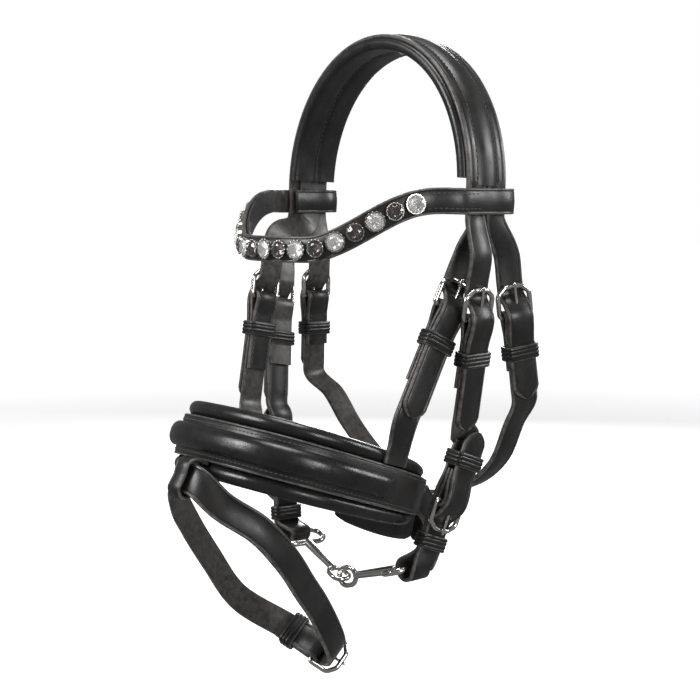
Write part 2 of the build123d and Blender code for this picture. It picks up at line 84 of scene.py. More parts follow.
LAYER = LEATHER / 2 + SKIN / 2
BAR_BEND = WIRE / 2 + 0.15 + LEATHER / 2
OVER_BAR = BAR_BEND + LEATHER + SKIN
ON_FOLD = LAYER + LEATHER + SKIN
UNDER_END = -(WIRE / 2 + 0.4 + LEATHER / 2)
FOLD_TAIL = 30.0
FOLD_BACK = -(LAYER + LEATHER / 2)
BEHIND = -(LAYER + LEATHER + 2 * SKIN)
BILLET_FRONT = ON_FOLD + LEATHER / 2
LOOP_BACK = -(BAR_BEND + LEATHER + 0.25)

# ---------------------------------------------------------------- looks that only show here
EDGE_ROUND = 0.6        # rounding of a strap's long edges
CREASE_IN = 1.5         # creased line, in from the edge
CREASE_DEEP = 0.16
STITCH_PITCH = 2.3
STITCH_LONG = 1.7
STITCH_THICK = 0.52
STITCH_IN = 1.9         # stitch row, in from the edge of a sewn fold

Station = namedtuple("Station", "point across width")
Cut = namedtuple("Cut", "point across out width heading")
Place = namedtuple("Place", "origin bar up out")


# ---------------------------------------------------------------- curves and routes
def slopes(points):
    """The direction of a smooth curve at each of its points, weighted by the gaps either side."""
    gaps = [(after - before).length for before, after in zip(points, points[1:])]
    legs = [(after - before) / gap for before, after, gap in zip(points, points[1:], gaps)]
    inner = [(legs[k] * gaps[k + 1] + legs[k + 1] * gaps[k]) / (gaps[k] + gaps[k + 1])
             for k in range(len(gaps) - 1)]
    first = legs[0] * 1.5 - inner[0] * 0.5
    last = legs[-1] * 1.5 - inner[-1] * 0.5
    return [first] + inner + [last], gaps


def curve_place(start, stop, leave, arrive, gap, part):
    """Point and direction a part of the way along one cubic piece of a smooth curve."""
    square, cube = part ** 2, part ** 3
    point = (start * (2 * cube - 3 * square + 1) + stop * (3 * square - 2 * cube)
             + leave * gap * (cube - 2 * square + part) + arrive * gap * (cube - square))
    heading = ((stop - start) * 6 * (part - square) + leave * gap * (3 * square - 4 * part + 1)
               + arrive * gap * (3 * square - 2 * part))
    return point, heading.normalized()


def follow(stations, facing, longest=1.2):
    """Cuts along a strap. Its outer side looks along facing at the last cut."""
    points = [s.point for s in stations]
    headings, gaps = slopes(points)
    cuts = []
    for k, gap in enumerate(gaps):
        here, there = stations[k], stations[k + 1]
        steps = max(2, math.ceil(gap / longest))
        for step in range(steps + (k == len(gaps) - 1)):
            part = step / steps
            point, heading = curve_place(here.point, there.point, headings[k], headings[k + 1],
                                         gap, part)
            across = here.across * (1 - part) + there.across * part
            across = (across - heading * across.dot(heading)).normalized()
            width = here.width * (1 - part) + there.width * part
            cuts.append(Cut(point, across, heading.cross(across), width, heading))
    if cuts[-1].out.dot(Vector(facing)) < 0:
        cuts = [c._replace(out=-c.out, across=-c.across) for c in cuts]
    return cuts


def places(points, across, width=STRAP):
    return [Station(Vector(point), Vector(across), width) for point in points]


def pointed(stations):
    """Narrow the end of a billet to its blunt point."""
    end = stations[-1]
    heading = (end.point - stations[-2].point).normalized()
    taper = ((2.5, 1.0), (4.6, 0.86), (6.3, 0.58), (7.6, 0.24))
    return stations + [Station(end.point + heading * reach, end.across, end.width * share)
                       for reach, share in taper]


def buckle_plane(bar, up, out):
    up = Vector(up).normalized()
    out = Vector(out)
    out = (out - up * out.dot(up)).normalized()
    return Place(Vector(bar), up.cross(out), up, out)


def on_plane(plane, route, hint=(0, 1, 0), width=STRAP):
    """Stations given as (along the strap, outwards) in a buckle's plane."""
    across = plane.bar if plane.bar.dot(Vector(hint)) > 0 else -plane.bar
    return [Station(plane.origin + plane.up * along + plane.out * out, across, width)
            for along, out in route]


def bar_fold(tail=FOLD_TAIL):
    straight = [(-tail, -LAYER), (-10.2, -LAYER), (-8.6, -LAYER), (-4.2, -BAR_BEND * 0.8)]
    bend = [(BAR_BEND * math.sin(turn), -BAR_BEND * math.cos(turn))
            for turn in (math.radians(step * 45) for step in range(5))]
    return straight + bend + [(-4.2, BAR_BEND * 0.8), (-8.6, LAYER), (-10.2, LAYER)]


def billet_crossing():
    return [(BUCKLE_LONG + 1.0, UNDER_END), (BUCKLE_LONG - 3.6, UNDER_END * 0.85), (5.0, 1.7),
            (0.6, OVER_BAR), (-4.0, OVER_BAR), (-9.0, ON_FOLD + 0.35), (-12.5, ON_FOLD),
            (-14.0, ON_FOLD)]


# ---------------------------------------------------------------- where each buckle hangs
LEFT, RIGHT = 1, -1
SIDE_NAME = {LEFT: "left", RIGHT: "right"}
CHEEK_BUCKLE = {LEFT: buckle_plane((62.0, -8.5, -116), (0.20, -0.02, 1), (1, 0, 0)),
                RIGHT: buckle_plane((-62.5, -18.0, -116), (-0.18, 0.17, 1), (-1, 0, 0))}
THROAT_BUCKLE = {LEFT: buckle_plane((62.0, 15.5, -115.5), (0, -0.16, 1), (1, -0.3, 0)),
                 RIGHT: buckle_plane((-61.0, 3.0, -113.0), (0, 0.02, 1), (-1, 0, 0))}
HANGER_BUCKLE = {LEFT: buckle_plane((54.0, -17.5, -112), (0.05, 0.50, 1), (1, -0.1, 0)),
                 RIGHT: buckle_plane((-54.0, -34.0, -112), (-0.03, 0.18, 1), (-1, -0.1, 0))}
LOWER_BUCKLE = {LEFT: buckle_plane((50.5, -12.0, -196.0), (-0.08, -0.34, -0.90), (1, 0, 0)),
                RIGHT: buckle_plane((-52.0, -26.5, -197.0), (0.12, -0.04, -1), (-1, 0, 0))}
CHIN_ACROSS = (0, 0.35, 0.94)
CHIN_BUCKLE = buckle_plane((6.0, 0.8, -214.0), (-1, 0, -0.03), (0, 0.94, -0.35))
FLASH_ACROSS = (0, 0.72, 0.69)
FLASH_FAR_ACROSS = (-0.25, 0.75, 0.60)
FLASH_TOP_ACROSS = (0, 0.45, 0.89)
FLASH_TOP = Vector((0, -114.5, -179.5))
FLASH_BUCKLE = buckle_plane((-5.5, -40.0, -269.0), (0.75, 0.35, -0.38), (-0.53, 0.52, -0.54))


# ---------------------------------------------------------------- meshes
class Build:
    """Vertices and faces gathered for one object, with how burnished each vertex is."""

    def __init__(self):
        self.points = []
        self.faces = []
        self.worn = []

    def ring(self, points, worn):
        first = len(self.points)
        self.points += points
        self.worn += worn
        return list(range(first, first + len(points)))

    def skin(self, rings, closed=False, caps=True):
        count = len(rings[0])
        pairs = list(zip(rings, rings[1:]))
        if closed:
            pairs.append((rings[-1], rings[0]))
        for one, two in pairs:
            for k in range(count):
                after = (k + 1) % count
                self.faces.append((one[k], one[after], two[after], two[k]))
        if caps and not closed:
            self.faces.append(tuple(reversed(rings[0])))
            self.faces.append(tuple(rings[-1]))

    def strip(self, cuts, profile, closed=False):
        """Sweep a profile, a function of the width, along some cuts."""
        rings = []
        for cut in cuts:
            outline = profile(cut.width)
            rings.append(self.ring([cut.point + cut.across * u + cut.out * v
                                    for u, v, _ in outline], [w for _, _, w in outline]))
        self.skin(rings, closed)

    def stitch(self, middle, along, out):
        """One sewn stitch, a short thread with sunk ends."""
        side = along.cross(out).normalized()
        rings = []
        for reach, lift, size in ((-0.5, -0.30, 0.35), (-0.36, 0.02, 0.8), (-0.12, 0.16, 1.0),
                                  (0.12, 0.16, 1.0), (0.36, 0.02, 0.8), (0.5, -0.30, 0.35)):
            centre = middle + along * (reach * STITCH_LONG) + out * (lift * STITCH_THICK)
            ring = [centre + (side * math.cos(turn) + out * math.sin(turn))
                    * (size * STITCH_THICK / 2)
                    for turn in (math.radians(60 * k) for k in range(6))]
            rings.append(self.ring(ring, [0.0] * 6))
        self.skin(rings)

    def row(self, cuts, inset, lift, start=0.0, stop=None, pitch=STITCH_PITCH):
        """Stitches along a run of cuts, inset from the strap's middle, from start to stop."""
        line = [cut.point + cut.across * inset + cut.out * lift for cut in cuts]
        reach = [0.0]
        for before, after in zip(line, line[1:]):
            reach.append(reach[-1] + (after - before).length)
        stop = reach[-1] if stop is None else stop
        count = int((stop - start) / pitch)
        k = 0
        for number in range(count):
            want = start + (number + 0.5) * pitch
            while k < len(reach) - 2 and reach[k + 1] < want:
                k += 1
            share = (want - reach[k]) / (reach[k + 1] - reach[k])
            middle = line[k].lerp(line[k + 1], share)
            along = (line[k + 1] - line[k]).normalized()
            self.stitch(middle, along, cuts[k].out)

    def made(self, name, material, body, slot, replaced=(), sharp=40):
        mesh = bpy.data.meshes.new(name)
        mesh.from_pydata([point * MM for point in self.points], [], self.faces)
        worn = mesh.attributes.new("worn", "FLOAT", "POINT")
        worn.data.foreach_set("value", self.worn)
        mesh.validate()
        mesh.update()
        piece = bpy.data.objects.new(name, mesh)
        bpy.context.scene.collection.objects.link(piece)
        recalculate(mesh)
        smooth(mesh, sharp)
        mesh.materials.append(material)
        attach(piece, body)
        if replaced:
            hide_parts(*replaced)
        return piece


def recalculate(mesh):
    """Turn every face outwards."""
    work = bmesh.new()
    work.from_mesh(mesh)
    bmesh.ops.recalc_face_normals(work, faces=work.faces)
    work.to_mesh(mesh)
    work.free()


def smooth(mesh, sharp):
    mesh.shade_smooth()
    mesh.set_sharp_from_angle(angle=math.radians(sharp))


# ---------------------------------------------------------------- profiles
def rounded(half, low, high, radius, between=()):
    """A rounded rectangle as (across, out, worn), with extra points on its outer face."""
    outline = []
    corners = ((half - radius, high - radius, 0), (radius - half, high - radius, 90),
               (radius - half, low + radius, 180), (half - radius, low + radius, 270))
    for number, (u, v, start) in enumerate(corners):
        for turn in (0, 30, 60, 90):
            angle = math.radians(start + turn)
            worn = 1.0 if number < 2 else 0.6
            outline.append((u + radius * math.cos(angle), v + radius * math.sin(angle), worn))
        if number == 0:
            outline += [(x, high + y, 0.0) for x, y in between]
    return outline


def creased(width, thickness=LEATHER, crease=CREASE_IN, rise=0.05):
    """A strap with rounded, burnished edges and a line pressed in beside each edge."""
    half = width / 2
    radius = min(EDGE_ROUND, thickness * 0.4, half * 0.45)
    line = max(half - crease, half * 0.45)
    wide = min(0.3, half * 0.12)
    between = [(line + wide, 0.0), (line, -CREASE_DEEP), (line - wide, 0.01), (0.0, rise),
               (wide - line, 0.01), (-line, -CREASE_DEEP), (-line - wide, 0.0)]
    return rounded(half, -thickness / 2, thickness / 2, radius, between)


def plain(width, thickness=LEATHER, rise=0.05):
    half = width / 2
    radius = min(EDGE_ROUND, thickness * 0.4, half * 0.45)
    between = [(half * 0.5, rise * 0.7), (0.0, rise), (-half * 0.5, rise * 0.7)]
    return rounded(half, -thickness / 2, thickness / 2, radius, between)


def mirrored_outline(half_outline):
    """A closed outline from its +u half, listed from the inner side to the outer side."""
    left = [(-u, v) for u, v in reversed(half_outline) if abs(u) > 1e-6]
    return [(u, v, 0.0) for u, v in half_outline + left]


def curved(points, steps=4):
    """Round off a polyline of (u, v) with a smooth curve through its points."""
    line = [Vector((u, v, 0)) for u, v in points]
    headings, gaps = slopes(line)
    out = []
    for k, gap in enumerate(gaps):
        for step in range(steps + (k == len(gaps) - 1)):
            point, _ = curve_place(line[k], line[k + 1], headings[k], headings[k + 1], gap,
                                   step / steps)
            out.append((point.x, point.y))
    return out


# ---------------------------------------------------------------- materials
def new_material(name):
    material = bpy.data.materials.new(name)
    material.use_nodes = True
    nodes, links = material.node_tree.nodes, material.node_tree.links
    shader = nodes["Principled BSDF"]
    where = nodes.new("ShaderNodeTexCoord")
    return material, nodes, links, shader, where.outputs["Object"]


def noise(nodes, links, where, scale, detail=3.0, rough=0.5):
    node = nodes.new("ShaderNodeTexNoise")
    node.inputs["Scale"].default_value = scale
    node.inputs["Detail"].default_value = detail
    node.inputs["Roughness"].default_value = rough
    links.new(where, node.inputs["Vector"])
    return node.outputs["Fac"]


def remap(nodes, links, value, low, high, start=0.0, stop=1.0):
    node = nodes.new("ShaderNodeMapRange")
    node.inputs["From Min"].default_value = start
    node.inputs["From Max"].default_value = stop
    node.inputs["To Min"].default_value = low
    node.inputs["To Max"].default_value = high
    links.new(value, node.inputs["Value"])
    return node.outputs["Result"]


def mix(nodes, links, factor, one, two):
    node = nodes.new("ShaderNodeMix")
    node.data_type = "RGBA"
    links.new(factor, node.inputs["Factor"])
    for socket, colour in (("A", one), ("B", two)):
        if hasattr(colour, "links"):
            links.new(colour, node.inputs[socket])
        else:
            [s for s in node.inputs if s.name == socket and s.type == "RGBA"][0].default_value = (
                *colour, 1)
    return [s for s in node.outputs if s.type == "RGBA"][0]


def bump(nodes, links, height, strength, distance, under=None):
    node = nodes.new("ShaderNodeBump")
    node.inputs["Strength"].default_value = strength
    node.inputs["Distance"].default_value = distance
    links.new(height, node.inputs["Height"])
    if under is not None:
        links.new(under, node.inputs["Normal"])
    return node.outputs["Normal"]


def leather(name, dark, light, edge, rough, grain, pore=1500.0):
    """Waxed leather: fine pores, faint cloudy colour, and paler burnished edges."""
    material, nodes, links, shader, where = new_material(name)
    cloud = noise(nodes, links, where, 70.0, 4.0)
    body = mix(nodes, links, remap(nodes, links, cloud, 0, 1, 0.35, 0.65), dark, light)
    worn = nodes.new("ShaderNodeAttribute")
    worn.attribute_name = "worn"
    speck = noise(nodes, links, where, 420.0, 4.0, 0.6)
    share = nodes.new("ShaderNodeMath")
    share.operation = "MULTIPLY"
    links.new(worn.outputs["Fac"], share.inputs[0])
    links.new(remap(nodes, links, speck, 0.25, 1.0, 0.35, 0.6), share.inputs[1])
    mixed = nodes.new("ShaderNodeMix")
    mixed.data_type = "RGBA"
    colours = [s for s in mixed.inputs if s.type == "RGBA"]
    links.new(share.outputs[0], mixed.inputs["Factor"])
    links.new(body, colours[0])
    colours[1].default_value = (*edge, 1)
    links.new([s for s in mixed.outputs if s.type == "RGBA"][0], shader.inputs["Base Color"])
    shine = noise(nodes, links, where, 130.0, 5.0, 0.6)
    links.new(remap(nodes, links, shine, rough - 0.07, rough + 0.12, 0.3, 0.7),
              shader.inputs["Roughness"])
    pores = nodes.new("ShaderNodeTexVoronoi")
    pores.inputs["Scale"].default_value = pore
    links.new(where, pores.inputs["Vector"])
    fine = bump(nodes, links, pores.outputs["Distance"], grain, 0.00012)
    coarse = bump(nodes, links, noise(nodes, links, where, 260.0, 3.0), 0.12, 0.0003, fine)
    links.new(coarse, shader.inputs["Normal"])
    shader.inputs["Specular IOR Level"].default_value = 0.42
    return material


def metal(name, colour, rough):
    """Polished metal with faint hairlines and a little haze."""
    material, nodes, links, shader, where = new_material(name)
    shader.inputs["Metallic"].default_value = 1.0
    haze = noise(nodes, links, where, 240.0, 5.0, 0.65)
    links.new(remap(nodes, links, haze, rough - 0.04, rough + 0.12, 0.3, 0.75),
              shader.inputs["Roughness"])
    links.new(mix(nodes, links, haze, [c * 0.86 for c in colour], colour),
              shader.inputs["Base Color"])
    links.new(bump(nodes, links, noise(nodes, links, where, 900.0, 2.0), 0.05, 0.0001),
              shader.inputs["Normal"])
    return material


def gem(name, colour, tint):
    """Cut crystal, with a little cloud inside."""
    material, nodes, links, shader, where = new_material(name)
    links.new(mix(nodes, links, noise(nodes, links, where, 160.0), colour, tint),
              shader.inputs["Base Color"])
    shader.inputs["Transmission Weight"].default_value = 0.85
    shader.inputs["IOR"].default_value = 1.62
    shader.inputs["Roughness"].default_value = 0.02
    return material


def thread(name, colour):
    material, nodes, links, shader, where = new_material(name)
    fibre = nodes.new("ShaderNodeTexWave")
    fibre.inputs["Scale"].default_value = 900.0
    fibre.inputs["Distortion"].default_value = 2.0
    links.new(where, fibre.inputs["Vector"])
    links.new(mix(nodes, links, fibre.outputs["Fac"], [c * 0.55 for c in colour], colour),
              shader.inputs["Base Color"])
    links.new(bump(nodes, links, fibre.outputs["Fac"], 0.5, 0.0001), shader.inputs["Normal"])
    shader.inputs["Roughness"].default_value = 0.55
    return material


BLACK = leather("bridle_leather", (0.0075, 0.0068, 0.0066), (0.0125, 0.0115, 0.011),
                (0.075, 0.07, 0.067), 0.34, 0.22)
SOFT = leather("lining_leather", (0.006, 0.0055, 0.0055), (0.011, 0.0102, 0.01),
               (0.03, 0.028, 0.027), 0.33, 0.32, 1100.0)
SHINY = leather("roll_leather", (0.0055, 0.005, 0.005), (0.0095, 0.009, 0.0088),
                (0.03, 0.028, 0.027), 0.27, 0.2)
STEEL = metal("polished_steel", (0.74, 0.73, 0.71), 0.13)
CUPS = metal("bright_cups", (0.62, 0.60, 0.57), 0.16)
CLEAR = gem("clear_crystal", (1.0, 0.99, 0.98), (0.94, 0.93, 0.92))
SMOKE = gem("smoke_crystal", (0.20, 0.18, 0.17), (0.10, 0.09, 0.09))
THREAD = thread("waxed_thread", (0.045, 0.043, 0.042))


# ---------------------------------------------------------------- crown
ARCH_Y = Vector((0, math.sin(ARCH_LEAN), math.cos(ARCH_LEAN)))
ARCH_BACK = Vector((0, math.cos(ARCH_LEAN), -math.sin(ARCH_LEAN)))
HEAD_IN = PAD_BASE + SKIN
HEAD_OUT = HEAD_IN + LEATHER
CROWN_IN = HEAD_OUT + SKIN
CROWN_OUT = CROWN_IN + LEATHER


def arch_cuts(distance, width, lift=0.0, back=0.0):
    """Cuts round the crown's arch, from its right foot to its left foot."""
    cuts = []
    most = math.acos(lift / (ARCH_RISE + distance)) if lift else math.pi / 2
    count = 90
    for number in range(count + 1):
        turn = most * (2 * number / count - 1)
        x = (ARCH_HALF + distance) * math.sin(turn)
        z = (ARCH_RISE + distance) * math.cos(turn) - ARCH_RISE
        normal = Vector(((ARCH_RISE + distance) * math.sin(turn), 0, 0)) + ARCH_Y * (
            (ARCH_HALF + distance) * math.cos(turn))
        heading = Vector(((ARCH_HALF + distance) * math.cos(turn), 0, 0)) - ARCH_Y * (
            (ARCH_RISE + distance) * math.sin(turn))
        point = Vector((x, 0, 0)) + ARCH_Y * z + ARCH_BACK * back
        cuts.append(Cut(point, -ARCH_BACK, normal.normalized(), width, heading.normalized()))
    return cuts


def leg(side, distance, back, width, route):
    foot = (Vector((side * (ARCH_HALF + distance), 0, 0)) - ARCH_Y * ARCH_RISE
            + ARCH_BACK * back)
    start = [Station(foot - ARCH_Y * reach, Vector((0, 1, 0)), width)
             for reach in (-1.5, 5, 11, 12.5)]
    return start + route


def crown_pad():
    """Foam rails either side of a channel, covered in soft leather, with a sewn middle."""
    half = [(0.0, 1.0), (0.7, 0.6), (2.4, 0.12), (6.5, 0.0), (10.0, 0.15), (12.1, 0.9),
            (12.75, 2.4), (12.6, 4.1), (11.7, 5.0), (10.4, 5.15), (8.2, 5.05), (7.3, 4.6),
            (7.0, 3.5), (6.4, PAD_BASE), (0.0, PAD_BASE)]
    outline = mirrored_outline(curved(half, 3))
    build = Build()
    build.strip(arch_cuts(0, PAD_WIDTH, PAD_END), lambda width: outline)
    piece = build.made("crown_pad_soft", SOFT, "bridle", "padding", ["crown_pad"], 60)
    sewn = Build()
    sewn.row(arch_cuts(0, PAD_WIDTH, PAD_END + 3), 0.0, 0.75)
    sewn.made("crown_pad_sewing", THREAD, "bridle", "padding")


def raised(width):
    """The crown strap, swelling over the strap that runs beneath it."""
    half, low, high = width / 2, -LEATHER / 2, LEATHER / 2
    swell = [(9.3, 0.0), (8.9, -CREASE_DEEP), (8.5, 0.0), (6.3, 0.0), (5.6, -0.22), (5.0, 0.1),
             (3.6, 0.75), (1.8, 1.05)]
    between = [(u, v) for u, v in swell] + [(0.0, 1.15)] + [(-u, v) for u, v in reversed(swell)]
    return rounded(half, low, high, EDGE_ROUND, between)


def crown_strap():
    build, sewn = Build(), Build()
    middle = (CROWN_IN + CROWN_OUT) / 2
    cuts = arch_cuts(middle, CROWN_STRAP)
    build.strip(cuts, raised)
    for inset in (-5.6, 5.6):
        sewn.row(cuts, inset, LEATHER / 2 - 0.1, 2.0)
    half = CROWN_STRAP / 2 - 0.5
    split = (CROWN_STRAP - half) / 2 - 0.05
    for side in (LEFT, RIGHT):
        for plane, back, reach, tail in ((CHEEK_BUCKLE[side], -split, 26, 41),
                                         (THROAT_BUCKLE[side], split, 25, 29)):
            route = on_plane(plane, [(reach, UNDER_END)] + billet_crossing()
                             + [(-22, ON_FOLD), (-tail, ON_FOLD + 0.15)])
            stations = pointed(leg(side, middle, back, half, route))
            build.strip(follow(stations, plane.out), creased)
    build.made("crown_strap_leather", BLACK, "bridle", "strap_leather", ["crown_strap"])
    sewn.made("crown_strap_sewing", THREAD, "bridle", "strap_leather")


def headstrap():
    build = Build()
    middle = (HEAD_IN + HEAD_OUT) / 2
    build.strip(arch_cuts(middle, STRAP), plain)
    for side in (LEFT, RIGHT):
        plane = HANGER_BUCKLE[side]
        route = on_plane(plane, [(27, UNDER_END)] + billet_crossing()
                         + [(-22, ON_FOLD), (-41, ON_FOLD + 0.2)])
        build.strip(follow(pointed(leg(side, middle, 0, STRAP - 0.1, route)), plane.out), creased)
    build.made("headstrap_leather", BLACK, "bridle", "strap_leather", ["noseband_headstrap"])


# ---------------------------------------------------------------- straps below the buckles
def fold_rows(sewn, cuts, length, skip=7.0):
    """Two rows of stitches that close a fold, seen on the side it starts from."""
    for inset in (-(STRAP / 2 - STITCH_IN), STRAP / 2 - STITCH_IN):
        sewn.row(cuts, inset, LEATHER / 2, 1.5, length - skip)


def cheekpiece(side):
    name = SIDE_NAME[side]
    upper, lower = CHEEK_BUCKLE[side], LOWER_BUCKLE[side]
    middle = Vector((side * (BIT_EYE.x + LOOP_OUT), BIT_EYE.y, BIT_EYE.z - LOOP_DROP + LOOP_BEND))
    loop = [middle + Vector((-side * LOOP_BEND * math.cos(turn), 0, -LOOP_BEND * math.sin(turn)))
            for turn in (math.radians(45 * step) for step in range(5))]
    route = on_plane(upper, bar_fold() + [(-16, LAYER), (-42, LAYER), (-49, LAYER)])
    route += on_plane(lower, [(-28, BEHIND), (-24, BEHIND), (-14.5, BEHIND), (-13, BEHIND),
                              (-5, LOOP_BACK), (10, LOOP_BACK), (23, LOOP_BACK)])
    route += places(loop, (0, 1, 0), LOOP_WIDE)
    route += on_plane(lower, [(23, UNDER_END)] + billet_crossing()[:-1]
                      + [(-14, ON_FOLD), (-19, ON_FOLD), (-25, ON_FOLD)])
    build, sewn = Build(), Build()
    cuts = follow(pointed(route), lower.out)
    build.strip(cuts, creased)
    fold_rows(sewn, cuts, FOLD_TAIL)
    chape = follow(on_plane(lower, bar_fold(14) + [(-14, LAYER)]), lower.out)
    build.strip(chape, plain)
    build.made(f"cheekpiece_leather_{name}", BLACK, "bridle", "strap_leather",
               [f"cheekpiece_{name}"])
    sewn.made(f"cheekpiece_sewing_{name}", THREAD, "bridle", "strap_leather")


def throatlatch():
    left, right = THROAT_BUCKLE[LEFT], THROAT_BUCKLE[RIGHT]
    fold = bar_fold(24) + [(-16, LAYER), (-33, LAYER), (-37, LAYER)]
    under_jaw = [(57.0, 21.0, -164), (46.5, 22.0, -183), (31, 21.5, -195.5), (15, 20.0, -201),
                 (0, 18.0, -201.5), (-15, 16.0, -198.5), (-30, 13.5, -188.5),
                 (-44, 11.0, -175), (-53.5, 8.0, -161)]
    route = on_plane(left, fold) + places(under_jaw, (0, 1, 0)) + on_plane(right, fold)[::-1]
    build, sewn = Build(), Build()
    cuts = follow(route, -right.out)
    build.strip(cuts, creased)
    fold_rows(sewn, cuts, 24)
    fold_rows(sewn, cuts[::-1], 24)
    build.made("throatlatch_leather", BLACK, "bridle", "strap_leather", ["throatlatch_strap"])
    sewn.made("throatlatch_sewing", THREAD, "bridle", "strap_leather")


# ---------------------------------------------------------------- noseband
NOSE_UP = Vector((0, math.sin(NOSE_TILT), math.cos(NOSE_TILT)))
NOSE_Y = Vector((0, math.cos(NOSE_TILT), -math.sin(NOSE_TILT)))


def nose_point(degrees, outward=0.0, up=0.0):
    turn = math.radians(degrees)
    flat = 2 / NOSE_SQUARE
    x = (NOSE_HALF + outward) * math.copysign(abs(math.sin(turn)) ** flat, math.sin(turn))
    back = -(NOSE_DEEP + outward) * math.copysign(abs(math.cos(turn)) ** flat, math.cos(turn))
    return NOSE_CENTRE + Vector((x, 0, 0)) + NOSE_Y * back + NOSE_UP * up


def nose_cuts(outward, heights, reach=NOSE_WRAP):
    stations = []
    count = 17
    for number in range(count):
        degrees = reach * (2 * number / (count - 1) - 1)
        share = (abs(degrees) / NOSE_WRAP) ** 5
        height = heights[0] * (1 - share) + heights[1] * share
        stations.append(Station(nose_point(degrees, outward), NOSE_UP, height))
    middle = nose_point(0, outward + 5) - nose_point(0, outward)
    cuts = follow(stations, (1, 0.9, 0), 1.5)
    centre = cuts[len(cuts) // 2]
    if centre.out.dot(middle) < 0:
        cuts = [c._replace(out=-c.out, across=-c.across) for c in cuts]
    return cuts


def end_close(cuts, length):
    """How much a padded form has closed towards its ends, for each cut."""
    shares = []
    total = len(cuts) - 1
    for number in range(len(cuts)):
        edge = min(number, total - number) / total * 300
        shares.append(min(1.0, math.sqrt(max(edge, 0.2) / length)))
    return shares


def puffed(build, cuts, half, size, closing, steps=3):
    """Sweep a padded outline, drawn for one size, that closes at both ends."""
    outline = mirrored_outline(curved(half, steps))
    rings = []
    for cut, close in zip(cuts, end_close(cuts, closing)):
        stretch = cut.width / size
        spread = stretch * (0.82 + 0.18 * close)
        rings.append(build.ring([cut.point + cut.across * (u * spread) + cut.out * (v * close)
                                 for u, v, _ in outline], [w for _, _, w in outline]))
    build.skin(rings)


def noseband():
    pad = [(0.0, -1.6), (0.8, -2.0), (3.0, -2.5), (8.0, -2.7), (12.5, -2.4), (14.9, -1.2),
           (15.6, 0.6), (15.0, 2.4), (13.2, 3.6), (11.2, 3.6), (9.7, 2.7), (8.9, 2.2),
           (4.0, 2.2), (0.0, 2.2)]
    build = Build()
    puffed(build, nose_cuts(-3.7, (NOSE_PAD, 25)), pad, NOSE_PAD, 6.0)
    piece = build.made("noseband_pad_soft", SHINY, "bridle", "padding", ["noseband_pad"], 60)
    front, sewn = Build(), Build()
    cuts = nose_cuts(0, (NOSE_FRONT, 16))
    front.strip(cuts, lambda width: creased(width, 2.0, 1.1, 0.0))
    front.made("noseband_front_leather", BLACK, "bridle", "strap_leather", ["noseband_front"])
    for inset in (-6.6, 6.6):
        sewn.row(cuts, inset, 1.0, 6.0, None, 2.1)
    sewn.made("noseband_sewing", THREAD, "bridle", "strap_leather")
    roll = [(0.0, -1.6), (3.4, -1.6), (5.0, -1.5), (5.3, -1.1), (4.8, 0.1), (3.7, 1.1),
            (2.2, 1.75), (0.0, 1.95)]
    dome = Build()
    puffed(dome, nose_cuts(2.95, (NOSE_ROLL, 7), 96), roll, NOSE_ROLL, 9.0)
    piece = dome.made("noseband_roll_soft", SHINY, "bridle", "raised_roll", ["noseband_roll"], 60)


def hanger(side):
    name = SIDE_NAME[side]
    plane = HANGER_BUCKLE[side]
    foot = nose_point(side * (95 if side == LEFT else 92), 0.9, NOSE_FRONT / 2 + 0.5)
    ankle = foot + Vector((side * 0.6, 2.0, 7.0))
    route = on_plane(plane, bar_fold(34) + [(-16, LAYER), (-44, LAYER), (-49, LAYER)])
    cuts = follow(route + places([ankle, foot], (0, 1, 0)), (side, 0, 0))
    build, sewn = Build(), Build()
    build.strip(cuts, creased)
    fold_rows(sewn, cuts, 34)
    build.made(f"hanger_leather_{name}", BLACK, "bridle", "strap_leather",
               [f"noseband_hanger_{name}"])
    sewn.made(f"hanger_sewing_{name}", THREAD, "bridle", "strap_leather")


def chin_side(side):
    return places([nose_point(side * (NOSE_WRAP + 3)), (side * 33.5, -8.5, -203.0)], CHIN_ACROSS)


def chin_straps():
    build = Build()
    fold = on_plane(CHIN_BUCKLE, (bar_fold(12) + [(-18, LAYER), (-20, LAYER)])[::-1], CHIN_ACROSS)
    build.strip(follow(chin_side(LEFT) + fold, -CHIN_BUCKLE.out), creased)
    build.made("chin_leather_left", BLACK, "bridle", "strap_leather", ["chin_strap_left"])
    build = Build()
    start = chin_side(RIGHT) + places([(-24, -3.5, -209.5)], CHIN_ACROSS)
    billet = on_plane(CHIN_BUCKLE, billet_crossing(), CHIN_ACROSS)
    build.strip(follow(pointed(start + billet), CHIN_BUCKLE.out), creased)
    build.made("chin_leather_right", BLACK, "bridle", "strap_leather", ["chin_strap_right"])
    build = Build()
    route = places([(26, -10.0, -208), (13, -6.7, -211), (0, -6.0, -211.8), (-13, -6.7, -211),
                    (-26, -10.0, -208)], CHIN_ACROSS, 19.0)
    half = [(0.0, -1.3), (4.0, -1.2), (7.6, -0.9), (9.3, -0.2), (9.3, 0.5), (7.8, 1.0),
            (4.0, 1.2), (0.0, 1.2)]
    puffed(build, follow(route, (0, 1, 0)), half, 19.0, 40.0)
    piece = build.made("chin_pad_soft", SOFT, "bridle", "padding", ["chin_pad"], 60)


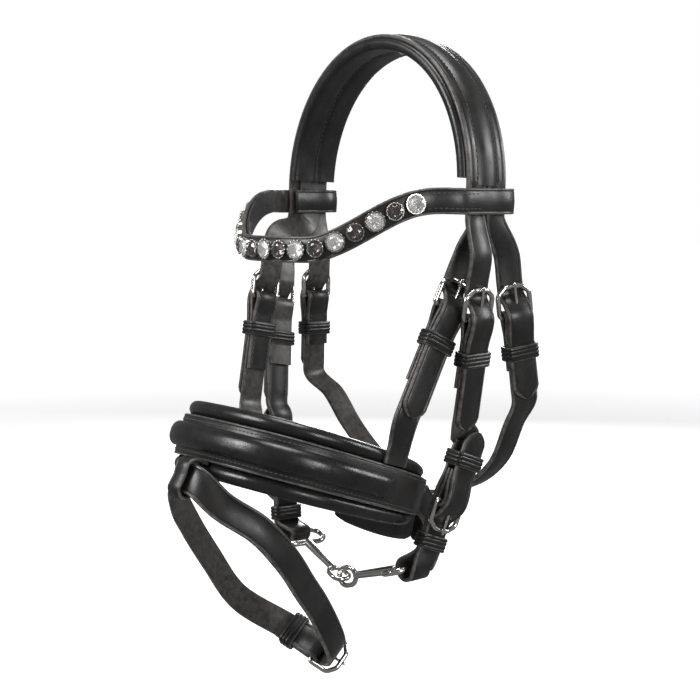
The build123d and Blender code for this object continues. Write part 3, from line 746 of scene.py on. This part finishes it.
def flash():
    far = [(-29.5, -68.0, -245.5), (-28.5, -83.0, -225.0), (-22.5, -98.0, -205.5),
           (-14.0, -108.8, -192.0)]
    top = [(-5.5, -114.3, -180.1), FLASH_TOP, (5.5, -114.1, -179.8)]
    near = [(17.0, -108.2, -189.3), (26, -95.5, -200.0), (29.5, -84.5, -213.5),
            (27, -73.5, -227.5), (20, -60.0, -241.7)]
    route = on_plane(FLASH_BUCKLE, bar_fold(14) + [(-16, LAYER)], FLASH_ACROSS)
    route += places(far, FLASH_FAR_ACROSS) + places(top, FLASH_TOP_ACROSS)
    route += places(near, FLASH_ACROSS)
    crossing = [(11.5, -16.0), (10.6, -8.0), (8.6, -3.0), (5.0, 1.6)] + billet_crossing()[3:]
    route += on_plane(FLASH_BUCKLE, crossing + [(-18, ON_FOLD + 0.1)], FLASH_ACROSS)
    build = Build()
    build.strip(follow(pointed(route), FLASH_BUCKLE.out), creased)
    build.made("flash_leather", BLACK, "flash", "strap_leather", ["flash_strap"])
    across = Vector(FLASH_TOP_ACROSS)
    out = Vector((0, -across.z, across.y))
    long, thick = STRAP / 2 + 2.1, LEATHER / 2 + 2.1
    around = [(long, 0.2), (long - 2.0, thick), (0, thick), (-long + 2.0, thick), (-long, 0),
              (-long + 2.0, -thick), (0, -thick), (long - 3.2, -thick)]
    points = [nose_point(0, 0.0, -NOSE_FRONT / 2 - 0.9)]
    points += [FLASH_TOP + across * up + out * front for up, front in around]
    build = Build()
    cuts = follow(places(points, (1, 0, 0), 8.4), -out)
    build.strip(cuts, lambda width: creased(width, 1.5, 1.0))
    build.made("flash_tab_leather", BLACK, "bridle", "strap_leather", ["flash_loop"])


# ---------------------------------------------------------------- browband
def brow_point(degrees, outward=0.0):
    turn = math.radians(degrees)
    share = min(max((abs(degrees) - 20.0) / 55.0, 0), 1)
    dip = BROW_DIP * (1 + math.cos(math.pi * share)) / 2
    return Vector(((BROW_HALF + outward) * math.sin(turn),
                   BROW_CENTRE - (BROW_DEEP + outward) * math.cos(turn), BROW_LINE - dip))


def brow_loop(side):
    inner = ARCH_HALF + HEAD_IN - 0.35 - LEATHER / 2
    outer = ARCH_HALF + CROWN_OUT + 0.45 + LEATHER / 2
    bend, middle = (outer - inner) / 2, (outer + inner) / 2
    back = 10.2
    points = [(outer, -15.5), (outer, -13), (outer, 0), (outer, back)]
    points += [(middle + bend * math.cos(math.radians(turn)), back + bend * math.sin(
        math.radians(turn))) for turn in (45, 90, 135)]
    points += [(inner, back), (inner, 0), (inner, -12)]
    return places([(side * x, y, BROW_LINE) for x, y in points], (0, 0, 1), BROW_LOOP)


def browband():
    wave = [Station(brow_point(angle), Vector((0, 0, 1)), BROW_WIDE)
            for angle in range(-72, 73, 6)]
    cuts = follow(brow_loop(RIGHT)[::-1] + wave + brow_loop(LEFT), (-1, 0, 0))
    build, sewn = Build(), Build()
    build.strip(cuts, lambda width: creased(width, LEATHER, 1.2, 0.25))
    build.made("browband_leather", BLACK, "bridle", "strap_leather", ["browband"])
    ends = [cut for cut in cuts if 71 < abs(math.degrees(math.atan2(
        cut.point.x / BROW_HALF, (BROW_CENTRE - cut.point.y) / BROW_DEEP))) < 96
        and abs(cut.point.x) > 52]
    for side in (LEFT, RIGHT):
        run = [cut for cut in ends if cut.point.x * side > 0 and cut.out.x * side > 0]
        for inset in (-3.1, 3.1):
            sewn.row(run, inset, LEATHER / 2 + 0.05)
    sewn.made("browband_sewing", THREAD, "bridle", "strap_leather")
    lining = [Station(brow_point(angle, -LEATHER / 2 - SKIN - 0.8), Vector((0, 0, 1)),
                      BROW_WIDE - 0.6) for angle in range(-72, 73, 6)]
    build = Build()
    build.strip(follow(lining, (1, 0, 0)), lambda width: plain(width, 1.2))
    build.made("browband_lining_soft", SOFT, "bridle", "padding", ["browband_lining"])


def stone_places():
    """Where the stones sit: centred on the front, one pitch apart along the wave."""
    line = [brow_point(angle / 4, LEATHER / 2) for angle in range(-288, 289)]
    reach = [0.0]
    for before, after in zip(line, line[1:]):
        reach.append(reach[-1] + (after - before).length)
    count = 2 * int(reach[-1] / STONE_PITCH / 2) + 1
    found = []
    for number in range(count):
        want = reach[-1] / 2 + (number - (count - 1) / 2) * STONE_PITCH
        k = max(i for i, value in enumerate(reach[:-1]) if value <= want)
        share = (want - reach[k]) / (reach[k + 1] - reach[k])
        along = (line[k + 1] - line[k]).normalized()
        out = along.cross(Vector((0, 0, 1))).normalized()
        found.append((line[k].lerp(line[k + 1], share), along, out.cross(along), out))
    return found


def brilliant(build, place, radius, turned):
    """A round cut stone: table, star and kite facets, girdle, and a faceted cone below."""
    origin, along, up, out = place

    def ring(count, reach, height, offset):
        points = []
        for k in range(count):
            turn = math.radians(turned) + 2 * math.pi * (k + offset) / count
            points.append(origin + (along * math.cos(turn) + up * math.sin(turn)) * reach
                          + out * (1.4 + height))
        return build.ring(points, [0.0] * count)

    table = ring(8, radius * 0.56, radius * 0.56, 0)
    kite = ring(8, radius * 0.80, radius * 0.42, 0.5)
    girdle = ring(16, radius, radius * 0.27, 0)
    under = ring(16, radius, radius * 0.20, 0)
    point = build.ring([origin + out * (1.4 - 0.34 * radius)], [0.0])[0]
    build.faces.append(tuple(table))
    for k in range(8):
        after = (k + 1) % 8
        build.faces.append((table[k], kite[k], table[after]))
        build.faces.append((table[after], kite[k], girdle[2 * k + 1], girdle[(2 * k + 2) % 16]))
        build.faces.append((table[k], girdle[2 * k], girdle[2 * k + 1], kite[k]))
    for k in range(16):
        after = (k + 1) % 16
        build.faces.append((girdle[k], under[k], under[after], girdle[after]))
        build.faces.append((under[k], point, under[after]))


def claws(build, place, radius):
    """A ring of small beads that grip the stone."""
    origin, along, up, out = place
    count = 14
    for k in range(count):
        turn = 2 * math.pi * k / count
        radial = along * math.cos(turn) + up * math.sin(turn)
        centre = origin + radial * (radius + 0.42) + out * 1.95
        bead(build, centre, radial, along * -math.sin(turn) + up * math.cos(turn), out, 0.46)


def bead(build, centre, one, two, three, size):
    rings = []
    for level in (-60, -20, 20, 60):
        height, reach = math.sin(math.radians(level)), math.cos(math.radians(level))
        rings.append(build.ring([centre + (one * math.cos(turn) + two * math.sin(turn))
                                 * (size * reach) + three * (size * height)
                                 for turn in (2 * math.pi * k / 8 for k in range(8))], [0.0] * 8))
    build.skin(rings)


def stones():
    clear, smoke, grip = Build(), Build(), Build()
    for number, place in enumerate(stone_places()):
        small = number % 2 == 1
        radius = (STONE_SMALL if small else STONE_LARGE) / 2
        brilliant(smoke if small else clear, place, radius, 11.0 * number)
        claws(grip, place, radius)
    clear.made("crystals_clear_cut", CLEAR, "bridle", "crystal_clear", ["crystals_clear"], 5)
    smoke.made("crystals_smoke_cut", SMOKE, "bridle", "crystal_smoke", ["crystals_smoke"], 5)
    grip.made("crystal_claws", CUPS, "bridle", "cup_metal")


# ---------------------------------------------------------------- keepers
def keeper(name, body, plane, along, back, front):
    """A closed band with pressed ridges, round a stack of straps."""
    middle = (back + front) / 2
    half_wide = (STRAP + 0.7) / 2
    half_deep = (front - back) / 2 + SKIN
    radius = 0.9
    half = KEEPER_LONG / 2
    outer = [(half, 0.35), (half - 0.1, 1.0), (half - 0.55, KEEPER_WALL)]
    for groove in (1.75, 0.0, -1.75):
        outer += [(groove + 0.42, KEEPER_WALL + 0.05), (groove, KEEPER_WALL - 0.3),
                  (groove - 0.42, KEEPER_WALL + 0.05)]
    outer += [(0.55 - half, KEEPER_WALL), (0.1 - half, 1.0), (-half, 0.35), (0.3 - half, 0.0),
              (half - 0.3, 0.0)]
    corners = ((1, 1, 0), (-1, 1, 90), (-1, -1, 180), (1, -1, 270))
    build = Build()
    rings = []
    for sx, sz, start in corners:
        for turn in range(0, 91, 15):
            angle = math.radians(start + turn)
            normal = plane.bar * math.cos(angle) + plane.out * math.sin(angle)
            base = (plane.origin + plane.up * along
                    + plane.bar * (sx * (half_wide - radius))
                    + plane.out * (middle + sz * (half_deep - radius)) + normal * radius)
            rings.append(build.ring([base + plane.up * a + normal * d for a, d in outer],
                                    [1.0 if abs(a) > half - 0.2 else 0.0 for a, d in outer]))
    build.skin(rings, closed=True)
    build.made(f"{name}_leather", BLACK, body, "strap_leather", [name])


KEEPERS = {"cheek_upper": (CHEEK_BUCKLE, -17.0, FOLD_BACK, BILLET_FRONT),
           "throat": (THROAT_BUCKLE, -16.0, FOLD_BACK, BILLET_FRONT),
           "hanger": (HANGER_BUCKLE, -15.0, FOLD_BACK, BILLET_FRONT),
           "cheek_middle": (LOWER_BUCKLE, -19.0, BEHIND - LEATHER / 2, BILLET_FRONT),
           "cheek_loop": (LOWER_BUCKLE, 19.0, LOOP_BACK - LEATHER / 2,
                          UNDER_END + LEATHER / 2)}


def keepers():
    for side, word in SIDE_NAME.items():
        for title, (planes, along, back, front) in KEEPERS.items():
            keeper(f"{title}_keeper_{word}", "bridle", planes[side], along, back, front)
    keeper("chin_keeper", "bridle", CHIN_BUCKLE, -14.0, FOLD_BACK, BILLET_FRONT)
    keeper("flash_keeper", "flash", FLASH_BUCKLE, -14.0, FOLD_BACK, BILLET_FRONT)


# ---------------------------------------------------------------- metal from the CAD
def hardware():
    for name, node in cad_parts.items():
        if "buckle" in name or "tongue" in name or name.startswith("bit_arm"):
            node.data.materials.clear()
            node.data.materials.append(STEEL)
            smooth(node.data, 30)
        if name == "crystal_cups":
            node.data.materials.clear()
            node.data.materials.append(CUPS)


# ---------------------------------------------------------------- studio
TARGET = Vector((0, -0.026, -0.133))    # what the camera and the lights look at, in metres
CAMERA_AWAY = 0.6       # metres from the target
CAMERA_TURN = 50        # degrees round from the front, towards the horse's left
CAMERA_RISE = 6.4       # degrees above level
ROOM_LIGHT = 0.20       # what polished surfaces and shadows see of the room
FLOOR_REACH = 6.0       # half the floor's side, in metres
FLOOR_LEVEL = -0.33     # its height, clear below the flash strap
GLOW_NEAR = 0.70        # metres from the object where the floor's painted glow begins, fading it to white
GLOW_FAR = 1.7           # and where the painted glow is full and the floor as white as the backdrop


def studio():
    floor = bpy.data.meshes.new("floor")
    corners = [(x * FLOOR_REACH, y * FLOOR_REACH, FLOOR_LEVEL)
               for x, y in ((-1, -1), (1, -1), (1, 1), (-1, 1))]
    floor.from_pydata(corners, [], [(0, 1, 2, 3)])
    ground = bpy.data.objects.new("floor", floor)
    bpy.context.scene.collection.objects.link(ground)
    ground.visible_glossy = False       # polished leather mirrors the dark room, not the pale floor
    material, nodes, links, shader, where = new_material("pale_floor_painted_glow")
    links.new(mix(nodes, links, noise(nodes, links, where, 3.0), (0.90, 0.90, 0.90),
                  (0.92, 0.92, 0.92)), shader.inputs["Base Color"])
    shader.inputs["Roughness"].default_value = 0.8
    # painted light: the floor glows white by emission, from none near the object to full at
    # GLOW_FAR, so the far floor matches the backdrop
    shader.inputs["Emission Color"].default_value = (1.0, 1.0, 1.0, 1)
    place = nodes.new("ShaderNodeNewGeometry")
    away = nodes.new("ShaderNodeVectorMath")
    away.operation = "LENGTH"
    links.new(place.outputs["Position"], away.inputs[0])
    glow = nodes.new("ShaderNodeMapRange")
    glow.inputs["From Min"].default_value = GLOW_NEAR
    glow.inputs["From Max"].default_value = GLOW_FAR
    links.new(away.outputs["Value"], glow.inputs["Value"])
    links.new(glow.outputs["Result"], shader.inputs["Emission Strength"])
    floor.materials.append(material)
    world = bpy.data.worlds.new("studio")
    bpy.context.scene.world = world
    world.use_nodes = True
    nodes, links = world.node_tree.nodes, world.node_tree.links
    room = nodes["Background"]
    room.inputs["Color"].default_value = (1.0, 1.0, 1.0, 1)
    room.inputs["Strength"].default_value = ROOM_LIGHT
    backdrop = nodes.new("ShaderNodeBackground")
    backdrop.inputs["Color"].default_value = (1.0, 1.0, 1.0, 1)
    backdrop.inputs["Strength"].default_value = 1.0
    seen = nodes.new("ShaderNodeLightPath")
    either = nodes.new("ShaderNodeMixShader")
    links.new(seen.outputs["Is Camera Ray"], either.inputs[0])
    links.new(room.outputs[0], either.inputs[1])
    links.new(backdrop.outputs[0], either.inputs[2])
    links.new(either.outputs[0], nodes["World Output"].inputs["Surface"])
    lights = (("key", (-0.30, -0.85, 0.35), 0.40, 9.0), ("side", (0.95, -0.15, 0.10), 0.30, 4.0),
              ("top", (0.05, 0.0, 0.80), 0.45, 8.0), ("rim", (-0.6, 0.6, 0.15), 0.35, 5.0),
              ("rim_two", (0.55, 0.70, 0.20), 0.30, 4.0))
    for name, place, size, power in lights:
        data = bpy.data.lights.new(name, "AREA")
        data.size = size
        data.energy = power
        lamp = bpy.data.objects.new(name, data)
        bpy.context.scene.collection.objects.link(lamp)
        lamp.location = place
        lamp.rotation_euler = (TARGET - Vector(place)).to_track_quat("-Z", "Y").to_euler()


def camera():
    data = bpy.data.cameras.new("camera")
    eye = bpy.data.objects.new("camera", data)
    bpy.context.scene.collection.objects.link(eye)
    turn, rise = math.radians(CAMERA_TURN), math.radians(CAMERA_RISE)
    back = Vector((math.sin(turn) * math.cos(rise), -math.cos(turn) * math.cos(rise),
                   math.sin(rise)))
    eye.location = TARGET + back * CAMERA_AWAY
    eye.rotation_euler = (-back).to_track_quat("-Z", "Y").to_euler()
    data.sensor_width = 36
    data.lens = 1333 / 700 * 36
    data.clip_start = 0.01
    bpy.context.scene.camera = eye


crown_pad()
crown_strap()
headstrap()
browband()
stones()
for one_side in (LEFT, RIGHT):
    cheekpiece(one_side)
    hanger(one_side)
throatlatch()
noseband()
chin_straps()
flash()
keepers()
hardware()
studio()
camera()
bpy.context.scene.view_settings.view_transform = "Standard"
bpy.context.view_layer.update()
